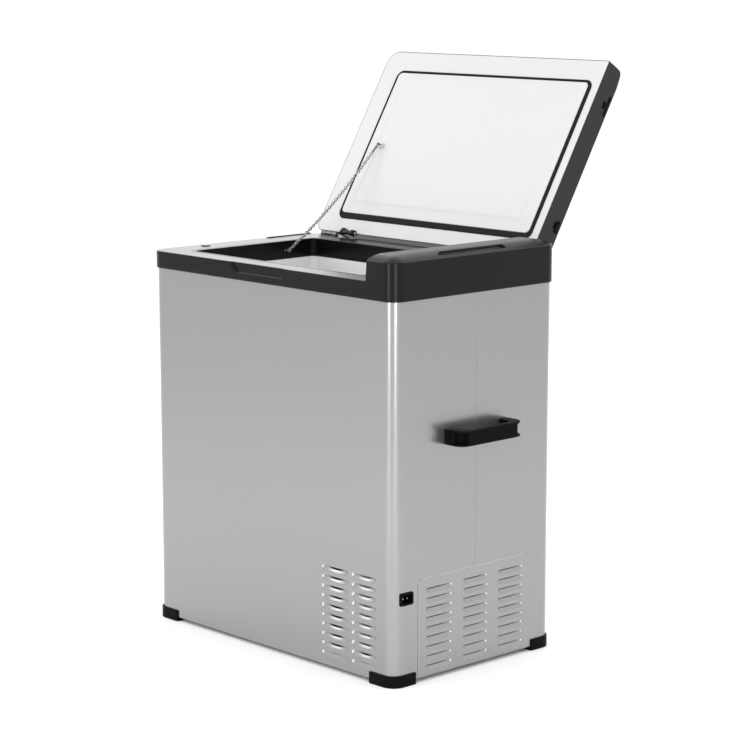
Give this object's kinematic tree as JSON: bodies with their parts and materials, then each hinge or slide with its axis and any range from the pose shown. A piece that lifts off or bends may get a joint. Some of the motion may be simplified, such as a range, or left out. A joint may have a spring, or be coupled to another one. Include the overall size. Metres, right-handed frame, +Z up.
{
  "type": "compressor cooler",
  "caption": "Upright portable compressor cooler with a rear-hinged lid on a stay chain, silver steel body, side console, louvred machine bay and end handles.",
  "frame": {"origin": "on the floor, under the middle of the whole object's bounding box with the lid standing open; this lies on the middle plane of the cabinet's width and 114 mm behind the middle of its depth", "axes": "+X to the user's right, the console side; +Y to the rear, where the hinges are; +Z up; the user stands on the -Y side"},
  "size_m": [0.68, 0.603, 0.9747],
  "materials": {
    "silver_steel": "satin silver coated steel sheet",
    "black_plastic": "fine-grained black moulding",
    "lid_plastic": "dark grey moulding",
    "white_plastic": "smooth white moulding",
    "liner_plastic": "smooth pale grey moulding",
    "black_rubber": "soft black seal",
    "foam": "rigid insulating foam",
    "aluminium": "plain mill finish",
    "copper": "drawn copper tube",
    "plated_steel": "bright plated steel",
    "compressor_paint": "black enamel",
    "display_glass": "smoked display window",
    "circuit_board": "green lacquered board"
  },
  "bodies": {
    "cabinet": {"front_shell": "silver_steel", "rear_shell": "silver_steel", "vent_panel": "silver_steel", "base_plate": "silver_steel", "foot_front_left": "black_plastic", "foot_front_right": "black_plastic", "foot_rear_left": "black_plastic", "foot_rear_right": "black_plastic", "top_frame": "black_plastic", "lid_rest_pad": "black_rubber", "rim_riser": "black_plastic", "liner": "liner_plastic", "insulation": "foam", "bay_bulkhead": "aluminium", "evaporator_wrap": "aluminium", "interior_light": "white_plastic", "compressor": "compressor_paint", "compressor_base": "plated_steel", "condenser": "aluminium", "power_module": "aluminium", "fan_shroud": "black_plastic", "fan_carrier": "black_plastic", "filter_drier": "copper", "discharge_pipe": "copper", "suction_pipe": "copper", "control_board": "circuit_board", "panel_bezel": "black_plastic", "display_lens": "display_glass", "power_inlet": "black_plastic", "inlet_pin_front": "plated_steel", "inlet_pin_rear": "plated_steel", "handle_left": "black_plastic", "handle_right": "black_plastic", "hinge_leaf_body_left": "plated_steel", "hinge_leaf_body_right": "plated_steel", "hinge_pin_left": "plated_steel", "hinge_pin_right": "plated_steel", "chain_eye": "plated_steel", "lid_chain": "plated_steel"},
    "lid": {"lid_shell": "lid_plastic", "lid_pan": "white_plastic", "lid_foam": "foam", "lid_gasket": "black_rubber", "hinge_leaf_lid_left": "plated_steel", "hinge_leaf_lid_right": "plated_steel", "lid_lug": "black_plastic", "chain_hook": "plated_steel"},
    "fan": {"fan_rotor": "black_plastic"},
    "key_1": {"button_1": "black_plastic"},
    "key_2": {"button_2": "black_plastic"},
    "key_3": {"button_3": "black_plastic"},
    "key_4": {"button_4": "black_plastic"}
  },
  "joints": [
    {"name": "lid_hinge", "type": "hinge", "parent": "cabinet", "child": "lid", "pos_m": [0, 0.07794, 0.653], "axis": [1, 0, 0], "range_deg": [0, 121], "deforming": ["lid_chain"]},
    {"name": "fan_spin", "type": "hinge", "parent": "cabinet", "child": "fan", "pos_m": [0.165, -0.20926, 0.095], "axis": [0, 1, 0], "continuous": true},
    {"name": "key_1_press", "type": "slide", "parent": "cabinet", "child": "key_1", "axis": [0, 0, -1], "range_m": [0, 0.0008], "stiffness_N_per_m": 400},
    {"name": "key_2_press", "type": "slide", "parent": "cabinet", "child": "key_2", "axis": [0, 0, -1], "range_m": [0, 0.0008], "stiffness_N_per_m": 400},
    {"name": "key_3_press", "type": "slide", "parent": "cabinet", "child": "key_3", "axis": [0, 0, -1], "range_m": [0, 0.0008], "stiffness_N_per_m": 400},
    {"name": "key_4_press", "type": "slide", "parent": "cabinet", "child": "key_4", "axis": [0, 0, -1], "range_m": [0, 0.0008], "stiffness_N_per_m": 400}
  ]
}
